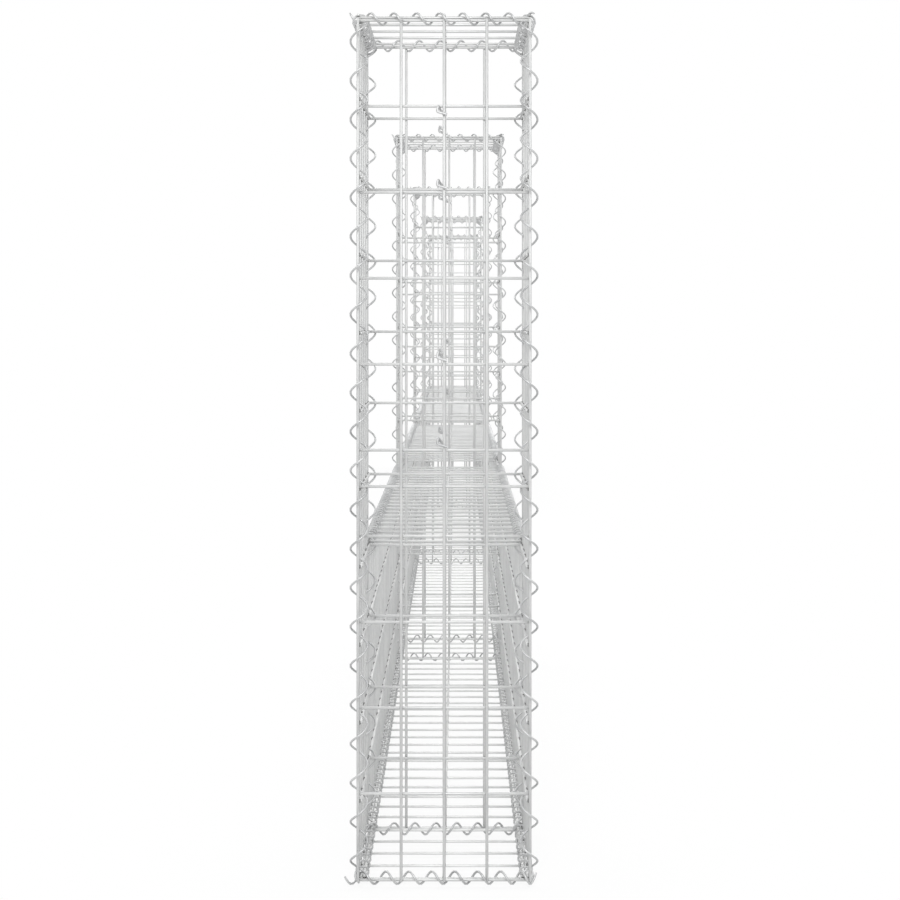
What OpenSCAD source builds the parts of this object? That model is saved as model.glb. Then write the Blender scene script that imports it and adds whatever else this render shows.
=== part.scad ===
// Empty gabion wall of welded mesh: square full-height columns with low bays
// between them, every panel laced to its neighbours with wire spirals.
// Millimetres, +Z up. The wall runs along Y, its width is along X, and the
// origin is in the middle of the wall on the ground.

/* [Wall] */
// Width of an end panel, between the centres of its edge wires
wall_w = 200; // [120:10:400]
// Height of a column panel, between the centres of its edge wires
column_h = 1000; // [600:10:1800]
/* [Mesh] */
// Width of a mesh cell along the wall
cell = 50; // [30:1:100]
// Number of cells along a column
column_cells = 4; // [2:1:8]
// Number of cells along a bay
bay_cells = 23; // [6:1:30]
// Number of cells across an end panel
end_cells = 4; // [2:2:8]
// Number of rows of cells up the front panel of a column
front_rows = 10; // [5:1:12]
// Height of the front panel's one odd cross wire over its bottom wire
odd_wire = 457.8; // [420:0.2:480]
// Number of rows of cells up the back and side panels of a column
column_rows = 11; // [5:1:12]
// Number of those rows that a low bay is high
bay_rows = 4; // [2:1:5]

/* [Wire] */
// Diameter of the panel wire
wire_d = 3.5; // [3:0.1:5]
// Clearance between panels, and between the wire layers of a cover or a column's floor
seam = 0.3; // [0.2:0.1:0.8]

/* [Corner spirals] */
// Diameter of the lacing wire
lacing_d = 2.3; // [1.5:0.1:3]
// Play between a corner spiral and the outermost wires that it holds
lacing_play = 1; // [0.8:0.1:3]
// Turns of a corner spiral in one row of cells
turns_per_row = 2; // [1:1:3]
// Height of the lower end of a corner spiral
spiral_low = 7.2; // [4:0.1:12]

/* [Ties] */
// Diameter of a tie rod
tie_d = 3; // [2:0.1:4]
// Height of a tie rod over the cross wire of the front panel that it lies above
tie_above = 8.5; // [6:0.5:12]
// Depth of a tie rod under the cross wire of the front panel that it lies below
tie_below = 6; // [6:0.5:12]
// Distance that a tie rod's hook swings out beside the middle upright
hook_swing = 6.5; // [6:0.5:12]
// Distance that the tip of a hook reaches past the middle upright's centre
hook_tip = 3; // [2:0.5:8]
// Height by which a hook rises beside the upright
hook_rise = 2.5; // [0:0.5:4]
// Height by which a hook falls in front of the upright
hook_fall = 3.5; // [1:0.5:6]

/* [Hidden] */
columns = 5;
half = wire_d / 2;
panel_t = 2 * wire_d;
first_wire = panel_t + seam + half;
column_l = column_cells * cell;
bay_l = bay_cells * cell;
column_depth = 2 * panel_t + 2 * seam + wire_d + column_l;
bay_depth = bay_l + wire_d + 2 * seam;
pitch = column_depth + bay_depth;
wall_l = columns * column_depth + (columns - 1) * bay_depth;
start_y = -wall_l / 2;
row_h = column_h / column_rows;
bay_h = bay_rows * row_h;
end_cell = wall_w / end_cells;
side_x = wall_w / 2 - wire_d;
floor_w = 2 * (side_x - half - seam - half);
spiral_pitch = row_h / turns_per_row;
spiral_steps = 4;
spiral_rings = spiral_steps * column_rows * turns_per_row - 1;
spiral_inset = panel_t / 2;
spiral_r = panel_t / 2 + seam + wire_d + lacing_d / 2 + lacing_play;
// Square turns with this corner radius enclose as much as round ones do
square_r = spiral_r * sqrt(PI / 2);
front_row = column_h / front_rows;
// Front panel row of each tie rod, and the rod's height over that row's wire
tie_rows = [[5, tie_above], [6, tie_above], [8, tie_above], [9, -tie_below]];
// A hook's distance in front of the panel, and where it leaves the rod behind the upright
hook_out = tie_d / 2 + seam;
hook_start = wire_d + seam + 1.4 * tie_d;
hook = [
    [hook_tip, -hook_out, -hook_fall],
    [-hook_swing, -hook_out, 0],
    [-hook_swing, half, hook_rise],
    [0, hook_start, 0]
];
tie_sides = 8;
// Direction that no length of a tie rod runs along
tie_reference = [0.37, 0.29, 0.88];

galvanised = [0.78, 0.79, 0.78];
lacing = [0.68, 0.69, 0.69];

// Where column i and bay i begin along the wall, counted from 0
function column_y(i) = start_y + i * pitch;
function bay_y(i) = column_y(i) + column_depth;

// Straight bar of square wire along X, Y or Z, centred on its own axis
module bar_x(x0, x1) {
    translate([x0, -half, -half]) cube([x1 - x0, wire_d, wire_d]);
}
module bar_y(y0, y1) {
    translate([-half, y0, -half]) cube([wire_d, y1 - y0, wire_d]);
}
module bar_z(z0, z1) {
    translate([-half, -half, z0]) cube([wire_d, wire_d, z1 - z0]);
}

// Upright panel across the wall: uprights in front, cross wires welded on behind, evenly
// up the panel and at the odd heights
module end_panel(rows, height, odd) {
    step = height / rows;
    levels = concat([for (k = [0:rows]) k * step], odd);
    for (i = [0:end_cells])
        translate([i * end_cell - wall_w / 2, half, 0]) bar_z(0, height + wire_d);
    for (level = levels)
        translate([0, half + wire_d, half + level])
            bar_x(-wall_w / 2 - half, wall_w / 2 + half);
}

// Upright panel along the wall on the +X side: uprights outside, long wires inside
module side_panel(cells, rows, height) {
    step = height / rows;
    for (i = [0:cells])
        translate([wall_w / 2, i * cell, 0]) bar_z(0, height + wire_d);
    for (k = [0:rows])
        translate([side_x, 0, half + k * step]) bar_y(-half, cells * cell + half);
}

// Level panel: cross wires below, and three long wires above them, this gap apart
module level_panel(cells, width, gap) {
    for (i = [0:cells])
        translate([0, i * cell, half]) bar_x(-width / 2 - half, width / 2 + half);
    for (s = [-1:1])
        translate([s * width / 2, 0, half + wire_d + gap]) bar_y(-half, cells * cell + half);
}

// Corner points of one ring of a spiral: three around the wire's own axis
function ring_points(k, hand, r) = [
    for (c = [0:2])
        let (turn = 360 * (k + 0.5) / spiral_steps, around = 120 * c + 60)
        [(r + lacing_d / 2 * cos(around)) * cos(turn),
         hand * (r + lacing_d / 2 * cos(around)) * sin(turn),
         spiral_pitch * k / spiral_steps + lacing_d / 2 * sin(around)]
];

// Spiral around the Z axis from z = 0: hand 1 is right-handed and -1 is left-handed
module spiral(rings, hand) {
    points = [for (k = [0:rings]) each ring_points(k, hand, square_r)];
    sides = [
        for (k = [0:rings - 1], c = [0:2])
            let (a = 3 * k + c, b = 3 * k + (c + 1) % 3)
            each [[a, b, b + 3], [a, b + 3, a + 3]]
    ];
    last = 3 * rings;
    ends = [[2, 1, 0], [last, last + 1, last + 2]];
    faces = [for (f = concat(sides, ends)) hand > 0 ? f : [f[2], f[1], f[0]]];
    polyhedron(points, faces, convexity = 10);
}

// Four corner spirals of a column; the two sides of the wall are wound opposite ways
module column_spirals(i) {
    color(lacing)
        for (side = [-1, 1], end = [spiral_inset, column_depth - spiral_inset])
            translate([side * wall_w / 2, column_y(i) + end, spiral_low])
                rotate([0, 0, side > 0 ? 0 : 180]) spiral(spiral_rings, -side);
}

module column_front_panel(i) {
    color(galvanised)
        translate([0, column_y(i), 0]) end_panel(front_rows, column_h, [odd_wire]);
}

module column_back_panel(i) {
    color(galvanised)
        translate([0, column_y(i) + column_depth, 0])
            mirror([0, 1, 0]) end_panel(column_rows, column_h, []);
}

module column_side_panel(i, side) {
    color(galvanised)
        translate([0, column_y(i) + first_wire, 0])
            mirror([side < 0 ? 1 : 0, 0, 0]) side_panel(column_cells, column_rows, column_h);
}

module column_floor(i) {
    color(galvanised)
        translate([0, column_y(i) + first_wire, 0]) level_panel(column_cells, floor_w, seam);
}

module column_cover(i) {
    color(galvanised)
        translate([0, column_y(i) + first_wire, column_h + wire_d + seam])
            level_panel(column_cells, wall_w, seam);
}

module bay_side_panel(i, side) {
    color(galvanised)
        translate([0, bay_y(i) + seam + half, 0])
            mirror([side < 0 ? 1 : 0, 0, 0]) side_panel(bay_cells, bay_rows, bay_h);
}

module bay_floor(i) {
    color(galvanised)
        translate([0, bay_y(i) + seam + half, 0]) level_panel(bay_cells, floor_w, 0);
}

module bay_cover(i) {
    color(galvanised)
        translate([0, bay_y(i) + seam + half, bay_h + wire_d + seam])
            level_panel(bay_cells, wall_w, seam);
}

// Path of a tie rod through a column: from the tip of one hook to the tip of the other
function tie_path(depth) = concat(
    hook, [for (k = [len(hook) - 1:-1:0]) [hook[k][0], depth - hook[k][1], hook[k][2]]]
);
function unit(v) = v / norm(v);
function heading(path, k) =
    unit((k > 0 ? unit(path[k] - path[k - 1]) : [0, 0, 0])
         + (k < len(path) - 1 ? unit(path[k + 1] - path[k]) : [0, 0, 0]));

// Corner points of a ring of wire around point p, square to the direction t
function wire_ring(p, t) =
    let (u = unit(cross(t, tie_reference)), v = cross(t, u))
    [for (c = [0:tie_sides - 1])
        p + tie_d / 2 * (cos(360 * c / tie_sides) * u + sin(360 * c / tie_sides) * v)];

// Tie rod from the front panel of a column to its back panel, as one bent wire
module tie_rod(depth) {
    path = tie_path(depth);
    points = [for (k = [0:len(path) - 1]) each wire_ring(path[k], heading(path, k))];
    sides = [
        for (k = [0:len(path) - 2], c = [0:tie_sides - 1])
            let (a = tie_sides * k + c, b = tie_sides * k + (c + 1) % tie_sides)
            each [[a, a + tie_sides, b + tie_sides], [a, b + tie_sides, b]]
    ];
    first = [for (c = [0:tie_sides - 1]) c];
    last = [for (c = [tie_sides - 1:-1:0]) tie_sides * (len(path) - 1) + c];
    polyhedron(points, concat(sides, [first, last]), convexity = 10);
}

module tie_rods() {
    color(galvanised)
        for (i = [0:columns - 1], row = tie_rows)
            translate([0, column_y(i), half + row[0] * front_row + row[1]])
                tie_rod(column_depth);
}

column_front_panel(0);  // column_1_front_panel
column_back_panel(0);  // column_1_back_panel
column_side_panel(0, -1);  // column_1_left_panel
column_side_panel(0, 1);  // column_1_right_panel
column_floor(0);  // column_1_floor
column_cover(0);  // column_1_cover
column_spirals(0);  // column_1_spirals
column_front_panel(1);  // column_2_front_panel
column_back_panel(1);  // column_2_back_panel
column_side_panel(1, -1);  // column_2_left_panel
column_side_panel(1, 1);  // column_2_right_panel
column_floor(1);  // column_2_floor
column_cover(1);  // column_2_cover
column_spirals(1);  // column_2_spirals
column_front_panel(2);  // column_3_front_panel
column_back_panel(2);  // column_3_back_panel
column_side_panel(2, -1);  // column_3_left_panel
column_side_panel(2, 1);  // column_3_right_panel
column_floor(2);  // column_3_floor
column_cover(2);  // column_3_cover
column_spirals(2);  // column_3_spirals
column_front_panel(3);  // column_4_front_panel
column_back_panel(3);  // column_4_back_panel
column_side_panel(3, -1);  // column_4_left_panel
column_side_panel(3, 1);  // column_4_right_panel
column_floor(3);  // column_4_floor
column_cover(3);  // column_4_cover
column_spirals(3);  // column_4_spirals
column_front_panel(4);  // column_5_front_panel
column_back_panel(4);  // column_5_back_panel
column_side_panel(4, -1);  // column_5_left_panel
column_side_panel(4, 1);  // column_5_right_panel
column_floor(4);  // column_5_floor
column_cover(4);  // column_5_cover
column_spirals(4);  // column_5_spirals
bay_side_panel(0, -1);  // bay_1_left_panel
bay_side_panel(0, 1);  // bay_1_right_panel
bay_floor(0);  // bay_1_floor
bay_cover(0);  // bay_1_cover
bay_side_panel(1, -1);  // bay_2_left_panel
bay_side_panel(1, 1);  // bay_2_right_panel
bay_floor(1);  // bay_2_floor
bay_cover(1);  // bay_2_cover
bay_side_panel(2, -1);  // bay_3_left_panel
bay_side_panel(2, 1);  // bay_3_right_panel
bay_floor(2);  // bay_3_floor
bay_cover(2);  // bay_3_cover
bay_side_panel(3, -1);  // bay_4_left_panel
bay_side_panel(3, 1);  // bay_4_right_panel
bay_floor(3);  // bay_4_floor
bay_cover(3);  // bay_4_cover
tie_rods();
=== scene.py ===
import math
import bpy
import numpy as np
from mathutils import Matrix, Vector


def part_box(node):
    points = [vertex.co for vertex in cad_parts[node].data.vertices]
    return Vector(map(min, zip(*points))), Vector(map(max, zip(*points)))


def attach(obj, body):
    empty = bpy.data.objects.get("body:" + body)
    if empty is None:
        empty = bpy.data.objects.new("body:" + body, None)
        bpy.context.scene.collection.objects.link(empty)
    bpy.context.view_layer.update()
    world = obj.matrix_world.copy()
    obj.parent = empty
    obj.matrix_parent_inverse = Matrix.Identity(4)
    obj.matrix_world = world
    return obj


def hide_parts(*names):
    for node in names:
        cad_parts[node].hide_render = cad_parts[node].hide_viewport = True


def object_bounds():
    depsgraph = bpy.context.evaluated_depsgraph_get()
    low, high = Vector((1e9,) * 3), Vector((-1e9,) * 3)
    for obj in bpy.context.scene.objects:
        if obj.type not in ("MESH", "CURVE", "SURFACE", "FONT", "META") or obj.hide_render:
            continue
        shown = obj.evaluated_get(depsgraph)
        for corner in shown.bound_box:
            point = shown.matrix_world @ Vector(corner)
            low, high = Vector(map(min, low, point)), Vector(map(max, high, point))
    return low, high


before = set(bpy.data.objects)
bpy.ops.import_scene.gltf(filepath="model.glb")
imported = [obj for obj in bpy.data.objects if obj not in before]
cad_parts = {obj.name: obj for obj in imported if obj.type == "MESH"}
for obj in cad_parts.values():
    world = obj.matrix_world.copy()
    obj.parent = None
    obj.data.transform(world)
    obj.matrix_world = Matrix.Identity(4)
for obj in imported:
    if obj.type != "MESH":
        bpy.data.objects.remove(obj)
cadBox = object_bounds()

scene = bpy.context.scene
seeds = np.random.default_rng(41)

# The wall stands along Y. Each column's front panel faces -Y, and the bays are lower than
# the columns.
wall = {
    "columns": 5,
    "bays": 4,
    "endCells": 4,       # cells across an end panel
    "columnCells": 4,    # cells along a column
    "bayCells": 23,      # cells along a bay
    "frontRows": 10,     # rows up a column's front panel
    "oddWire": 0.45955,  # height of its one odd cross wire
    "columnRows": 11,    # rows up its other panels
    "bayRows": 4,        # rows up a bay's panels
    "flatWires": 3,      # long wires in a floor or a cover
}


# A shader node group that has only its sockets so far: inputs are rows of label, kind and
# value, and outputs are rows of label and kind
def socketGroup(name, inputs, outputs):
    tree = bpy.data.node_groups.new(name, "ShaderNodeTree")
    for label, kind, value in inputs:
        socket = tree.interface.new_socket(name=label, in_out="INPUT", socket_type=kind)
        socket.default_value = value
    for label, kind in outputs:
        tree.interface.new_socket(name=label, in_out="OUTPUT", socket_type=kind)
    return tree


# A new node of one kind in a tree, with its settings given by their names
def node(tree, kind, **values):
    made = tree.nodes.new(kind)
    for key, value in values.items():
        setattr(made, key, value)
    return made


zincPattern = {
    "cloudDetail": 3,
    "cloudRoughness": 0.6,
    "cloudFrom": 0.35,     # the noise's value where the cloud starts
    "cloudTo": 0.68,       # and where it is full
    "cloudShare": 0.7,     # how much of the bloom follows the cloud
    "grainShare": 0.25,    # and how much each grain's own tone
    "fineScale": 1400,
    "fineDetail": 2,
    "grainHeight": 0.5,    # height of a grain beside the fine noise
    "bumpDistance": 0.0001,
}


# Zinc coat: a slow cloud, and small crystal grains that each have a tone of their own. The
# share of bloom is cloudShare * cloud + grainShare * grain. The colour runs from Coat to
# Bloom and the roughness from Smooth to Rough by that share. Where wires are welded the colour
# is the weld colour, partly a real scorch mark and partly painted shade of the nooks beside
# each joint. The height is a fine noise + grainHeight * the grain's second tone.
def makeZincGroup():
    tree = socketGroup("zincCoat", [
        ("Coat", "NodeSocketColor", (0.5, 0.5, 0.5, 1)),
        ("Bloom", "NodeSocketColor", (0.6, 0.6, 0.6, 1)),
        ("ScorchAndNookShade", "NodeSocketColor", (0.3, 0.3, 0.3, 1)),
        ("Grain Scale", "NodeSocketFloat", 400.0),
        ("Cloud Scale", "NodeSocketFloat", 12.0),
        ("Smooth", "NodeSocketFloat", 0.3),
        ("Rough", "NodeSocketFloat", 0.5),
    ], [
        ("Color", "NodeSocketColor"),
        ("Roughness", "NodeSocketFloat"),
        ("Height", "NodeSocketFloat"),
    ])
    link = tree.links.new
    given = node(tree, "NodeGroupInput")
    out = node(tree, "NodeGroupOutput")
    place = node(tree, "ShaderNodeTexCoord")
    cloud = node(tree, "ShaderNodeTexNoise")
    cloud.inputs["Detail"].default_value = zincPattern["cloudDetail"]
    cloud.inputs["Roughness"].default_value = zincPattern["cloudRoughness"]
    link(place.outputs["Object"], cloud.inputs["Vector"])
    link(given.outputs["Cloud Scale"], cloud.inputs["Scale"])
    spread = node(tree, "ShaderNodeMapRange", interpolation_type="SMOOTHSTEP")
    spread.inputs["From Min"].default_value = zincPattern["cloudFrom"]
    spread.inputs["From Max"].default_value = zincPattern["cloudTo"]
    link(cloud.outputs["Fac"], spread.inputs["Value"])
    grain = node(tree, "ShaderNodeTexVoronoi", feature="F1")
    link(place.outputs["Object"], grain.inputs["Vector"])
    link(given.outputs["Grain Scale"], grain.inputs["Scale"])
    facet = node(tree, "ShaderNodeSeparateColor")
    link(grain.outputs["Color"], facet.inputs["Color"])
    share = node(tree, "ShaderNodeMath", operation="MULTIPLY_ADD")
    share.inputs[1].default_value = zincPattern["grainShare"]
    cloudShare = node(tree, "ShaderNodeMath", operation="MULTIPLY")
    cloudShare.inputs[1].default_value = zincPattern["cloudShare"]
    link(spread.outputs["Result"], cloudShare.inputs[0])
    link(facet.outputs["Red"], share.inputs[0])
    link(cloudShare.outputs["Value"], share.inputs[2])
    tone = node(tree, "ShaderNodeMix", data_type="RGBA")
    link(share.outputs["Value"], tone.inputs["Factor"])
    link(given.outputs["Coat"], tone.inputs["A"])
    link(given.outputs["Bloom"], tone.inputs["B"])
    # painted shade: the weld spots take a dark colour that is partly scorch and partly the
    # shade of the nooks beside each joint
    weld = node(tree, "ShaderNodeAttribute", attribute_name="weld")
    scorchedAndShaded = node(tree, "ShaderNodeMix", data_type="RGBA")
    link(weld.outputs["Fac"], scorchedAndShaded.inputs["Factor"])
    link(tone.outputs["Result"], scorchedAndShaded.inputs["A"])
    link(given.outputs["ScorchAndNookShade"], scorchedAndShaded.inputs["B"])
    link(scorchedAndShaded.outputs["Result"], out.inputs["Color"])
    rough = node(tree, "ShaderNodeMapRange")
    link(share.outputs["Value"], rough.inputs["Value"])
    link(given.outputs["Smooth"], rough.inputs["To Min"])
    link(given.outputs["Rough"], rough.inputs["To Max"])
    link(rough.outputs["Result"], out.inputs["Roughness"])
    fine = node(tree, "ShaderNodeTexNoise")
    fine.inputs["Scale"].default_value = zincPattern["fineScale"]
    fine.inputs["Detail"].default_value = zincPattern["fineDetail"]
    link(place.outputs["Object"], fine.inputs["Vector"])
    height = node(tree, "ShaderNodeMath", operation="MULTIPLY_ADD")
    height.inputs[1].default_value = zincPattern["grainHeight"]
    link(facet.outputs["Green"], height.inputs[0])
    link(fine.outputs["Fac"], height.inputs[2])
    link(height.outputs["Value"], out.inputs["Height"])
    return tree


zincGroup = makeZincGroup()


# A material whose colour, roughness and bump come from the zinc coat, with the values of
# one finish. What is the same all over is set on the shader itself.
def zincMaterial(name, finish):
    material = bpy.data.materials.new(name)
    material.use_nodes = True
    tree = material.node_tree
    link = tree.links.new
    shader = tree.nodes["Principled BSDF"]
    coat = node(tree, "ShaderNodeGroup", node_tree=zincGroup)
    coat.inputs["Coat"].default_value = (*finish["coat"], 1)
    coat.inputs["Bloom"].default_value = (*finish["bloom"], 1)
    coat.inputs["ScorchAndNookShade"].default_value = (*finish["scorchAndNookShade"], 1)
    coat.inputs["Grain Scale"].default_value = finish["grainScale"]
    coat.inputs["Cloud Scale"].default_value = finish["cloudScale"]
    coat.inputs["Smooth"].default_value = finish["smooth"]
    coat.inputs["Rough"].default_value = finish["rough"]
    link(coat.outputs["Color"], shader.inputs["Base Color"])
    link(coat.outputs["Roughness"], shader.inputs["Roughness"])
    bump = node(tree, "ShaderNodeBump")
    bump.inputs["Strength"].default_value = finish["bump"]
    bump.inputs["Distance"].default_value = zincPattern["bumpDistance"]
    link(coat.outputs["Height"], bump.inputs["Height"])
    link(bump.outputs["Normal"], shader.inputs["Normal"])
    edge = finish["edge"]
    shader.inputs["Metallic"].default_value = finish["metallic"]
    shader.inputs["Specular IOR Level"].default_value = finish["gloss"]
    shader.inputs["Specular Tint"].default_value = (edge, edge, edge, 1)
    return material


panelFinish = {
    "coat": (0.58, 0.585, 0.585),
    "bloom": (0.7, 0.705, 0.7),
    # the weld colour: a real scorch mark, darkened further as painted shade of the nooks at
    # the joints
    "scorchAndNookShade": (0.19, 0.19, 0.188),
    "grainScale": 420.0,
    "cloudScale": 14.0,
    "smooth": 0.42,
    "rough": 0.62,
    "bump": 0.25,
    "metallic": 0.5,
    "edge": 0.45,          # how much of the light comes back at a very slanting look
    "gloss": 0.25,
}
# painted light: the floors' wires get a lighter colour that stands in for the light thrown up
# onto them from the white ground
floorPaintedLightFinish = {
    **panelFinish,
    "coat": (0.68, 0.685, 0.68),
    "bloom": (0.8, 0.805, 0.8),
}
lacingFinish = {
    "coat": (0.47, 0.475, 0.48),
    "bloom": (0.67, 0.675, 0.675),
    "scorchAndNookShade": (0.3, 0.3, 0.295),
    "grainScale": 650.0,
    "cloudScale": 22.0,
    "smooth": 0.34,
    "rough": 0.52,
    "bump": 0.18,
    "metallic": 0.5,
    "edge": 0.5,
    "gloss": 0.3,
}
tieFinish = {
    **lacingFinish,
    "grainScale": 500.0,
    "cloudScale": 30.0,
    "smooth": 0.36,
    "rough": 0.54,
    "bump": 0.2,
}
panelZinc = zincMaterial("panelZinc", panelFinish)
# the floors' zinc, lighter as painted light from the ground below
floorPaintedLightZinc = zincMaterial("floorPaintedLightZinc", floorPaintedLightFinish)
lacingZinc = zincMaterial("lacingZinc", lacingFinish)
tieZinc = zincMaterial("tieZinc", tieFinish)
print("materials: zinc on panels, lacing and ties")


# One mesh from vertex positions and sets of faces; a set holds faces of one size, each a
# row of vertex numbers. The weld attribute is 1 on the weld spots and 0 elsewhere.
def makePiece(name, parts, material, slotName, *replaced):
    points = np.concatenate([part["points"] for part in parts])
    faceSets = []
    weld = []
    offset = 0
    for part in parts:
        faceSets += [faces + offset for faces in part["faces"]]
        weld.append(np.full(len(part["points"]), part.get("weld", 0.0)))
        offset += len(part["points"])
    sizes = np.concatenate([np.full(len(faces), faces.shape[1]) for faces in faceSets])
    corners = np.concatenate([faces.ravel() for faces in faceSets])
    mesh = bpy.data.meshes.new(name)
    mesh.vertices.add(len(points))
    mesh.vertices.foreach_set("co", points.astype(np.float32).ravel())
    mesh.loops.add(len(corners))
    mesh.loops.foreach_set("vertex_index", corners.astype(np.int32))
    mesh.polygons.add(len(sizes))
    mesh.polygons.foreach_set("loop_start", (np.cumsum(sizes) - sizes).astype(np.int32))
    mesh.polygons.foreach_set("use_smooth", np.ones(len(sizes), bool))
    mesh.update(calc_edges=True)
    attribute = mesh.attributes.new("weld", "FLOAT", "POINT")
    attribute.data.foreach_set("value", np.concatenate(weld).astype(np.float32))
    mesh.materials.append(material)
    piece = bpy.data.objects.new(name, mesh)
    scene.collection.objects.link(piece)
    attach(piece, "root")
    if replaced:
        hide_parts(*replaced)


# Round tubes carried along paths of equal length, as one array: paths is tubes x rings x 3,
# radii has one value a ring. A ring's point is path + radius * (cos a * side + sin a * up),
# where side is the given direction made square to the path, up is the path's direction
# crossed with side, and a is half a step and then whole steps round. The first and last
# rings are closed with a face.
def tubes(paths, radii, direction, sides):
    along = np.gradient(paths, axis=1)
    along /= np.linalg.norm(along, axis=2, keepdims=True)
    direction = np.broadcast_to(direction, paths.shape)
    side = direction - (direction * along).sum(axis=2, keepdims=True) * along
    side /= np.linalg.norm(side, axis=2, keepdims=True)
    up = np.cross(along, side)
    angle = (np.arange(sides) + 0.5) * 2 * math.pi / sides
    radii = np.asarray(radii)[None, :, None, None]
    ring = np.cos(angle)[:, None] * side[:, :, None] + np.sin(angle)[:, None] * up[:, :, None]
    points = paths[:, :, None] + radii * ring
    ids = np.arange(points.size // 3).reshape(points.shape[:3])
    nextSide = np.roll(ids, -1, axis=2)
    quads = np.stack([ids[:, :-1], nextSide[:, :-1], nextSide[:, 1:], ids[:, 1:]], axis=-1)
    return {
        "points": points.reshape(-1, 3),
        "faces": [quads.reshape(-1, 4), ids[:, 0, ::-1], ids[:, -1]],
    }


panelWire = {
    "diameter": 0.0035,
    "sides": 12,
    "sunk": 0.00035,       # how far a cross wire is pressed into the wire that it is welded to
    "cutBevel": 0.0004,
    "cutSpread": 0.0005,   # how unevenly the ends are cut
    "laidSpread": 0.0002,  # how unevenly the wires lie
}


# Straight wires between two arrays of end points, with the cut edges broken. Five rings lie
# at 0, one bevel, half the length, the length less a bevel, and the length, and the first
# and last are a bevel smaller.
def straightWires(start, end):
    radius = panelWire["diameter"] / 2
    bevel = panelWire["cutBevel"]
    length = np.linalg.norm(end - start, axis=1)[:, None, None]
    along = (end - start)[:, None] / length
    share = np.array([0, 0, 0.5, 1, 1])[None, :, None]
    inward = np.array([0, bevel, 0, -bevel, 0])[None, :, None]
    paths = start[:, None] + (share * length + inward) * along
    radii = [radius - bevel, radius, radius, radius, radius - bevel]
    # the next axis round is square to the wires
    direction = np.roll(np.abs(along[0, 0]), 1)
    return tubes(paths, radii, direction, panelWire["sides"])


weldSpot = {
    # at the joint between the two wires, on panels that face along X, Y and Z
    "radius": (0.0025, 0.0019, 0.0021),
    "neck": 0.65,          # share of that radius where the spot runs out on each wire
    "reach": 0.0012,       # how far the spot runs to either side of the joint
    "full": 0.45,          # share of the reach where it is still at its full radius
    "sides": 8,
}


# Weld spots: a short post at each crossing, along the panel's normal, from -reach to reach.
# It has the full radius near the joint and narrows to the neck on each wire.
def weldSpots(centres, normal):
    steps = np.array([-1, -weldSpot["full"], weldSpot["full"], 1]) * weldSpot["reach"]
    radius = weldSpot["radius"][int(np.argmax(normal))]
    radii = radius * np.array([weldSpot["neck"], 1, 1, weldSpot["neck"]])
    paths = centres[:, None] + steps[None, :, None] * normal
    part = tubes(paths, radii, np.roll(np.abs(normal), 1), weldSpot["sides"])
    part["weld"] = 1.0
    return part


# A welded panel laid out in its frame box. The first wires run along axis firstAxis and lie
# against one face of the box, half a wire in. The second wires cross them on the inner side,
# a wire less the sunk depth further in. Both sets are evenly spaced between the box's edges,
# give or take the spread, and the second set also has wires at the odd places.
def weldedPanel(name, firstAxis, secondAxis, firstCount, secondCount, firstSide, odd=(),
                zinc=panelZinc):
    low, high = (np.array(corner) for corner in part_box(name))
    half = panelWire["diameter"] / 2
    normalAxis = 3 - firstAxis - secondAxis
    inward = -firstSide
    face = high[normalAxis] if firstSide > 0 else low[normalAxis]
    firstLevel = face + inward * half
    secondLevel = firstLevel + inward * (2 * half - panelWire["sunk"])
    firstPlaces = np.linspace(low[secondAxis] + half, high[secondAxis] - half, firstCount)
    secondPlaces = np.linspace(low[firstAxis] + half, high[firstAxis] - half, secondCount)
    firstPlaces[1:-1] += seeds.uniform(-1, 1, firstCount - 2) * panelWire["laidSpread"]
    secondPlaces[1:-1] += seeds.uniform(-1, 1, secondCount - 2) * panelWire["laidSpread"]
    secondPlaces = np.append(secondPlaces, odd)

    # one set: each wire runs from edge to edge along runAxis, at its place and level
    def wires(runAxis, placeAxis, places, level):
        ends = []
        for edge in (low, high):
            corner = np.zeros((len(places), 3))
            corner[:, runAxis] = edge[runAxis]
            corner[:, placeAxis] = places
            corner[:, normalAxis] = level
            ends.append(corner)
        cut = seeds.uniform(0, 1, (2, len(places))) * panelWire["cutSpread"]
        ends[0][:, runAxis] += cut[0]
        ends[1][:, runAxis] -= cut[1]
        return straightWires(ends[0], ends[1])

    across, along = np.meshgrid(firstPlaces, secondPlaces)
    joints = np.zeros((across.size, 3))
    joints[:, secondAxis] = across.ravel()
    joints[:, firstAxis] = along.ravel()
    joints[:, normalAxis] = (firstLevel + secondLevel) / 2
    normal = np.eye(3)[normalAxis]
    parts = [
        wires(firstAxis, secondAxis, firstPlaces, firstLevel),
        wires(secondAxis, firstAxis, secondPlaces, secondLevel),
        weldSpots(joints, normal),
    ]
    makePiece(name + "_wires", parts, zinc, "panel_wire", name)


axisX, axisY, axisZ = 0, 1, 2
lowFace, highFace = -1, 1


# The four long panels of a column or a bay: two sides, a floor and a cover. There is one
# wire more than there are cells or rows.
def longPanels(frameName, cells, rows):
    flat = wall["flatWires"]
    weldedPanel(frameName + "left_panel", axisZ, axisY, cells + 1, rows + 1, lowFace)
    weldedPanel(frameName + "right_panel", axisZ, axisY, cells + 1, rows + 1, highFace)
    # the floor takes the zinc that is made lighter as painted light
    weldedPanel(frameName + "floor", axisX, axisY, cells + 1, flat, lowFace, zinc=floorPaintedLightZinc)
    weldedPanel(frameName + "cover", axisX, axisY, cells + 1, flat, lowFace)


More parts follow.
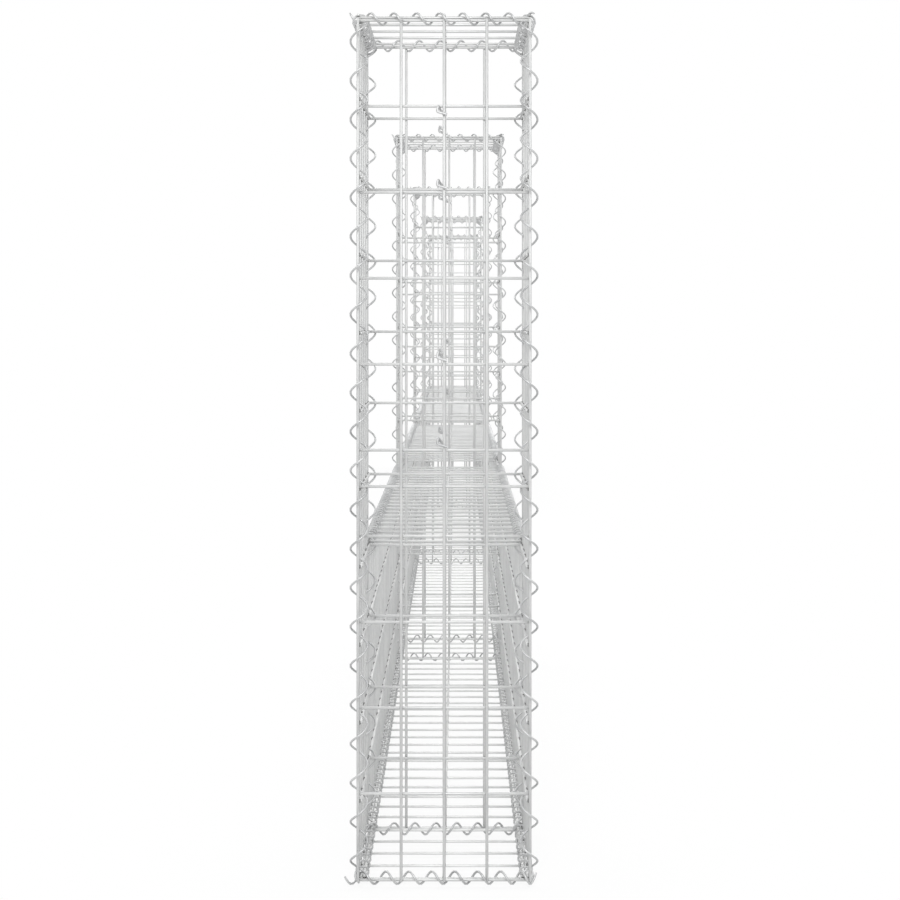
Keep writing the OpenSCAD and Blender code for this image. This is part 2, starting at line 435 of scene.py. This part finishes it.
for number in range(1, wall["columns"] + 1):
    column = "column_%d_" % number
    uprights = wall["endCells"] + 1
    frontWires = wall["frontRows"] + 1
    backWires = wall["columnRows"] + 1
    odd = [wall["oddWire"]]
    weldedPanel(column + "front_panel", axisZ, axisX, uprights, frontWires, lowFace, odd)
    weldedPanel(column + "back_panel", axisZ, axisX, uprights, backWires, highFace)
    longPanels(column, wall["columnCells"], wall["columnRows"])
for number in range(1, wall["bays"] + 1):
    longPanels("bay_%d_" % number, wall["bayCells"], wall["bayRows"])
print("panels: welded mesh on %d columns and %d bays" % (wall["columns"], wall["bays"]))


cornerSpiral = {
    "wire": 0.0025,
    "radius": 0.0098,      # of the wire's centre line
    "inset": 0.0010,       # of the axis from the edge uprights, towards the middle
    "pitch": 0.045365,
    "outerPoint": 0.0240,  # height where the first turn is furthest out
    "low": 0.0030,         # height of its lower end
    "high": 1.0010,        # and of its upper end
    "flare": 0.0012,       # how far the loose ends spring open
    "steps": 16,           # a turn
    "sides": 8,
}
edgeSpiral = {
    "wire": 0.0027,
    "steps": 12,
    "sides": 6,
    "flare": 0.0010,
}
spiralEnds = {
    "flareTurns": 1 / 3,   # how much of a turn opens out at each loose end
    "drawnTurns": 1.3,     # how many turns the draw-in runs over
    "cutShare": 0.8,       # size of the cut end beside the wire's
}


# A spiral's centre line: radii[0] * cos t along the first axis, radii[1] * sin t along the
# second and pitch * t / 2 pi along the third, from t0 to t1. The loose ends open outwards by
# flare * (1 - turns from the end / flareTurns) squared. The first turns after t0 are drawn
# together by pitch * drawn * (1 - turns from t0 / drawnTurns).
def spiralWire(centre, axes, radii, pitch, t0, t1, values, drawn=0.0):
    count = int(round((t1 - t0) / (2 * math.pi) * values["steps"]))
    t = np.linspace(t0, t1, count + 1)
    fromEnd = np.minimum(t - t0, t1 - t) / (2 * math.pi * spiralEnds["flareTurns"])
    spread = values["flare"] * np.clip(1 - fromEnd, 0, 1) ** 2
    first, second, third = (np.array(axis, float) for axis in axes)
    outward = np.cos(t)[:, None] * first + np.sin(t)[:, None] * second
    ring = (np.cos(t) * radii[0])[:, None] * first + (np.sin(t) * radii[1])[:, None] * second
    path = np.array(centre) + ring + spread[:, None] * outward
    turn = t / (2 * math.pi)
    turn += drawn * np.clip(1 - (turn - turn[0]) / spiralEnds["drawnTurns"], 0, 1)
    path += (pitch * turn)[:, None] * third
    wire = np.full(count + 1, values["wire"] / 2)
    wire[[0, -1]] *= spiralEnds["cutShare"]
    return tubes(path[None], wire, outward[None], values["sides"])


# A column's four corner spirals. Each goes up round the outermost uprights of two panels
# that meet, on an axis that stands in the middle of the end panel's thickness, an inset in
# from the side panel's uprights. A point's height is outerPoint + pitch * t / 2 pi, and t
# runs from where that is low to where it is high.
def cornerSpirals(number):
    column = "column_%d_" % number
    values = cornerSpiral
    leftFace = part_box(column + "left_panel")[0][0]
    edge = abs(leftFace) - panelWire["diameter"] / 2 - values["inset"]
    parts = []
    for panel in ("front_panel", "back_panel"):
        low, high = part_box(column + panel)
        for side in (-1, 1):
            # t = 0 is furthest out; the two sides of the wall are wound opposite ways
            centre = (side * edge, (low[1] + high[1]) / 2, values["outerPoint"])
            axes = ((side, 0, 0), (0, -1, 0), (0, 0, 1))
            t0 = 2 * math.pi * (values["low"] - values["outerPoint"]) / values["pitch"]
            t1 = 2 * math.pi * (values["high"] - values["outerPoint"]) / values["pitch"]
            radii = (values["radius"], values["radius"])
            parts.append(spiralWire(centre, axes, radii, values["pitch"], t0, t1, values))
    name = column + "spirals"
    makePiece(name + "_wires", parts, lacingZinc, "lacing_wire", name)


for number in range(1, wall["columns"] + 1):
    cornerSpirals(number)
print("corner spirals: four a column")


endLacing = {
    "pitch": 0.0267,
    "depth": 0.0067,       # radius in and out
    "inset": 0.0054,       # of the axis from the panel's outer face
    # one row an edge: X of an upper point, X of each end, height of the axis over the
    # bottom or top of the panel, radius up and down, and how much of a pitch the last
    # turn on the right is drawn in by
    "frontTop": (-0.0858, -0.1093, 0.1045, 0.00015, 0.0068, 0.0),
    "frontBottom": (-0.0664, -0.1150, 0.1158, 0.0041, 0.0070, 0.3),
    "backTop": (-0.0858, -0.1060, 0.1045, 0.00015, 0.0068, 0.0),
    "backBottom": (-0.0664, -0.1080, 0.1060, 0.0025, 0.0072, 0.0),
}
longLacing = {
    "pitch": 0.025,
    "early": 0.45,         # how many turns before its first upper point a spiral starts
    # one row a place: radii across and up, and the axis's distance from the middle of the
    # wall and its height over the underside of the floor or cover
    "floor": ((0.0075, 0.0075), 0.09635, 0.0045),
    "columnCover": ((0.0088, 0.0088), 0.0973, -0.0018),
    "bayCover": ((0.0068, 0.0068), 0.0980, 0.0010),
}


# A spiral across the wall on one edge of an end panel. X is phase + pitch * (1/4 - t / 2 pi),
# so that the upper point at a quarter turn lies at the phase. Its outer strands fall from
# left to right as seen from outside the front.
def lacingAcross(face, outward, level, row):
    phase, start, stop, rise, upright, drawn = endLacing[row]
    pitch = endLacing["pitch"]
    quarter = math.pi / 2
    centre = (phase + pitch / 4, face - outward * endLacing["inset"], level + rise)
    axes = ((0, outward, 0), (0, 0, 1), (-1, 0, 0))
    t0 = quarter - 2 * math.pi * (stop - phase) / pitch
    t1 = quarter - 2 * math.pi * (start - phase) / pitch
    radii = (endLacing["depth"], upright)
    return spiralWire(centre, axes, radii, pitch, t0, t1, edgeSpiral, drawn)


# A spiral along one long edge of a floor or a cover, from its first cross wire to its last.
# Y is first + pitch * (1/4 + t / 2 pi), so that the upper point at a quarter turn lies half
# a pitch past the first cross wire. The next ones are a pitch apart, two to a cell.
def lacingAlong(side, place, underside, first, last):
    radii, out, rise = longLacing[place]
    pitch = longLacing["pitch"]
    turns = round((last - first) / pitch)
    centre = (side * out, first + pitch / 4, underside + rise)
    axes = ((side, 0, 0), (0, 0, 1), (0, 1, 0))
    t0 = math.pi / 2 - 2 * math.pi * longLacing["early"]
    t1 = t0 + 2 * math.pi * turns
    return spiralWire(centre, axes, radii, pitch, t0, t1, edgeSpiral)


# Four spirals on a frame's long edges: on either side one on its floor and one on its cover
def longEdges(frameName, coverPlace):
    half = panelWire["diameter"] / 2
    parts = []
    for side in (-1, 1):
        for flat, place in (("floor", "floor"), ("cover", coverPlace)):
            low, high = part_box(frameName + flat)
            parts.append(lacingAlong(side, place, low[2], low[1] + half, high[1] - half))
    return parts


# All the lacing of a column's edges: the long ones, and the top and bottom of both ends
def columnLacing(number):
    column = "column_%d_" % number
    parts = longEdges(column, "columnCover")
    for end, outward in (("front", -1), ("back", 1)):
        low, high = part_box(column + end + "_panel")
        face = low[1] if outward < 0 else high[1]
        parts.append(lacingAcross(face, outward, high[2], end + "Top"))
        parts.append(lacingAcross(face, outward, low[2], end + "Bottom"))
    makePiece(column + "edge_lacing", parts, lacingZinc, "lacing_wire")


for number in range(1, wall["columns"] + 1):
    columnLacing(number)
for number in range(1, wall["bays"] + 1):
    bay = "bay_%d_" % number
    makePiece(bay + "edge_lacing", longEdges(bay, "bayCover"), lacingZinc, "lacing_wire")
print("edge lacing: floors and covers laced to the upright panels")


tieRod = {
    "wire": 0.003,
    "heights": (0.51025, 0.61025, 0.81025, 0.89575),
    # a hook as points in X, distance inwards from the panel's face, and height over the rod
    "hook": [
        (0.0036, -0.0019, -0.0042),
        (-0.0050, -0.0021, -0.0018),
        (-0.0082, -0.0020, -0.0008),
        (-0.0066, -0.0008, 0.0066),
        (-0.0054, 0.0030, 0.0034),
        (-0.0026, 0.0080, 0.0),
        (0.0, 0.0130, 0.0),
    ],
    "rounding": 4,         # times that the corners are cut
    "sides": 10,
    "cutShare": 0.8,       # size of the cut end beside the wire's
    # a slanting reference direction that the path never runs along
    "reference": (0.37, 0.29, 0.88),
}


# Corner cutting: each pass puts two points on each line, a quarter from either end, and
# keeps the first and last points
def roundedPath(points, passes):
    path = np.array(points, float)
    for _ in range(passes):
        near = path[:-1] * 0.75 + path[1:] * 0.25
        far = path[:-1] * 0.25 + path[1:] * 0.75
        inner = np.stack([near, far], axis=1).reshape(-1, 3)
        path = np.concatenate([path[:1], inner, path[-1:]])
    return path


# A rod through the column from end to end, behind the middle uprights, with a hook at each
# end that swings round the upright and across in front of it. The path is the two hooks'
# points with their corners cut, and a straight line between them.
def tieParts(number):
    column = "column_%d_" % number
    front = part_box(column + "front_panel")[0][1]
    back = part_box(column + "back_panel")[1][1]
    hook = np.array(tieRod["hook"])
    parts = []
    for height in tieRod["heights"]:
        near = hook + (0, front, height)
        far = (hook * (1, -1, 1) + (0, back, height))[::-1]
        path = roundedPath(np.concatenate([near, far]), tieRod["rounding"])
        radii = np.full(len(path), tieRod["wire"] / 2)
        radii[[0, -1]] *= tieRod["cutShare"]
        parts.append(tubes(path[None], radii, np.array(tieRod["reference"]), tieRod["sides"]))
    return parts


allTies = []
for number in range(1, wall["columns"] + 1):
    allTies += tieParts(number)
makePiece("tie_rods_wires", allTies, tieZinc, "tie_rod", "tie_rods")
print("tie rods: %d" % len(allTies))


studio = {
    "floorSize": 60.0,
    "floorDrop": 0.0002,   # how far the floor lies under the wall
    "floorColour": (0.97, 0.97, 0.97),
    "floorRough": 0.9,
    "floorGloss": 0.1,
    "plainLeast": 0.88,    # share of plain white under the wall, where the shadow is
    "plainFrom": 0.14,     # distance from the wall's axis where that share starts to rise
    "plainTo": 0.5,        # and where the floor is plain white
    "worldColour": (0.43, 0.43, 0.43),
}
lamps = {
    "overhead": {
        "place": (0, 0, 3.6),
        "target": (0, 0, 0),
        "size": (2.5, 12.0),
        "power": 210.0,
    },
    "frontSoft": {
        "place": (0, -6.4, 2.8),
        "target": (0, -2.6, 0.6),
        "size": (1.6, 1.6),
        "power": 90.0,
    },
}
plainWhite = (1, 1, 1, 1)


# The largest of three masks: 1 where the ray comes from the camera, or from a glossy or
# clear surface, and 0 for others
def seenRays(tree):
    rays = node(tree, "ShaderNodeLightPath")
    first = node(tree, "ShaderNodeMath", operation="MAXIMUM")
    tree.links.new(rays.outputs["Is Camera Ray"], first.inputs[0])
    tree.links.new(rays.outputs["Is Glossy Ray"], first.inputs[1])
    second = node(tree, "ShaderNodeMath", operation="MAXIMUM")
    tree.links.new(first.outputs["Value"], second.inputs[0])
    tree.links.new(rays.outputs["Is Transmission Ray"], second.inputs[1])
    return second.outputs["Value"]


# A flat square under the wall. The distance from the wall is the length of (X, |Y| less
# half the wall), and the share of plain white rises smoothly with it, from plainLeast at
# plainFrom to 1 at plainTo. Only the rays of seenRays meet that white.
def makeFloor(height):
    half = studio["floorSize"] / 2
    mesh = bpy.data.meshes.new("floor")
    corners = [
        (-half, -half, height),
        (half, -half, height),
        (half, half, height),
        (-half, half, height),
    ]
    mesh.from_pydata(corners, [], [(0, 1, 2, 3)])
    floor = bpy.data.objects.new("floor", mesh)
    scene.collection.objects.link(floor)
    material = bpy.data.materials.new("paleFloor")
    material.use_nodes = True
    tree = material.node_tree
    link = tree.links.new
    shader = tree.nodes["Principled BSDF"]
    shader.inputs["Base Color"].default_value = (*studio["floorColour"], 1)
    shader.inputs["Roughness"].default_value = studio["floorRough"]
    shader.inputs["Specular IOR Level"].default_value = studio["floorGloss"]
    white = node(tree, "ShaderNodeEmission")
    white.inputs["Color"].default_value = plainWhite
    place = node(tree, "ShaderNodeTexCoord")
    split = node(tree, "ShaderNodeSeparateXYZ")
    link(place.outputs["Object"], split.inputs["Vector"])
    fromMiddle = node(tree, "ShaderNodeMath", operation="ABSOLUTE")
    link(split.outputs["Y"], fromMiddle.inputs[0])
    lessWall = node(tree, "ShaderNodeMath", operation="SUBTRACT")
    lessWall.inputs[1].default_value = max(abs(cadBox[0][1]), abs(cadBox[1][1]))
    link(fromMiddle.outputs["Value"], lessWall.inputs[0])
    # beside the wall it would be below zero, and counts as none
    pastEnd = node(tree, "ShaderNodeMath", operation="MAXIMUM")
    pastEnd.inputs[1].default_value = 0.0
    link(lessWall.outputs["Value"], pastEnd.inputs[0])
    flat = node(tree, "ShaderNodeCombineXYZ")
    link(split.outputs["X"], flat.inputs["X"])
    link(pastEnd.outputs["Value"], flat.inputs["Y"])
    distance = node(tree, "ShaderNodeVectorMath", operation="LENGTH")
    link(flat.outputs["Vector"], distance.inputs[0])
    fade = node(tree, "ShaderNodeMapRange", interpolation_type="SMOOTHSTEP")
    fade.inputs["From Min"].default_value = studio["plainFrom"]
    fade.inputs["From Max"].default_value = studio["plainTo"]
    fade.inputs["To Min"].default_value = studio["plainLeast"]
    link(distance.outputs["Value"], fade.inputs["Value"])
    amount = node(tree, "ShaderNodeMath", operation="MULTIPLY")
    link(fade.outputs["Result"], amount.inputs[0])
    link(seenRays(tree), amount.inputs[1])
    mix = node(tree, "ShaderNodeMixShader")
    link(amount.outputs["Value"], mix.inputs["Fac"])
    link(shader.outputs["BSDF"], mix.inputs[1])
    link(white.outputs["Emission"], mix.inputs[2])
    link(mix.outputs["Shader"], tree.nodes["Material Output"].inputs["Surface"])
    mesh.materials.append(material)


# The world: the studio's plain grey for the light it gives, and white for the rays of
# seenRays
def makeWorld():
    world = bpy.data.worlds.new("studio")
    scene.world = world
    world.use_nodes = True
    tree = world.node_tree
    link = tree.links.new
    background = tree.nodes["Background"]
    background.inputs["Strength"].default_value = 1.0
    colour = node(tree, "ShaderNodeMix", data_type="RGBA")
    colour.inputs["A"].default_value = (*studio["worldColour"], 1)
    colour.inputs["B"].default_value = plainWhite
    link(seenRays(tree), colour.inputs["Factor"])
    link(colour.outputs["Result"], background.inputs["Color"])


# A soft lamp that faces its target. It shines straight down, is tilted by the angle whose
# tangent is the level distance over the drop, and then turned to the target's bearing.
def areaLamp(name, place, target, size, power):
    lamp = bpy.data.lights.new(name, "AREA")
    lamp.shape = "RECTANGLE"
    lamp.size, lamp.size_y = size
    lamp.energy = power
    holder = bpy.data.objects.new(name, lamp)
    holder.location = place
    aim = np.array(target, float) - np.array(place, float)
    holder.rotation_euler = (
        math.atan2(math.hypot(aim[0], aim[1]), -aim[2]),
        0.0,
        math.atan2(aim[1], aim[0]) - math.pi / 2,
    )
    scene.collection.objects.link(holder)


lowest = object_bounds()[0][2]
makeFloor(lowest - studio["floorDrop"])
makeWorld()
for name, values in lamps.items():
    areaLamp(name, **values)
print("floor, world and lamps")


view = {
    "sensor": 36,
    "lens": 72.05,
    "across": 0.0146,      # right of the wall's middle
    "before": 2.093,       # in front of the near end's uprights
    "height": 0.654,
    "shift": (-0.0073, -0.1452),
    "clipEnd": 100,
}
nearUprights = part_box("column_1_front_panel")[0][1] + panelWire["diameter"] / 2
camera = bpy.data.cameras.new("camera")
camera.sensor_width = view["sensor"]
camera.lens = view["lens"]
camera.shift_x, camera.shift_y = view["shift"]
camera.clip_end = view["clipEnd"]
cameraObject = bpy.data.objects.new("camera", camera)
cameraObject.location = (view["across"], nearUprights - view["before"], view["height"])
# a level look along Y
cameraObject.rotation_euler = (math.pi / 2, 0, 0)
scene.collection.objects.link(cameraObject)
scene.camera = cameraObject
scene.view_settings.view_transform = "Standard"
print("camera set")
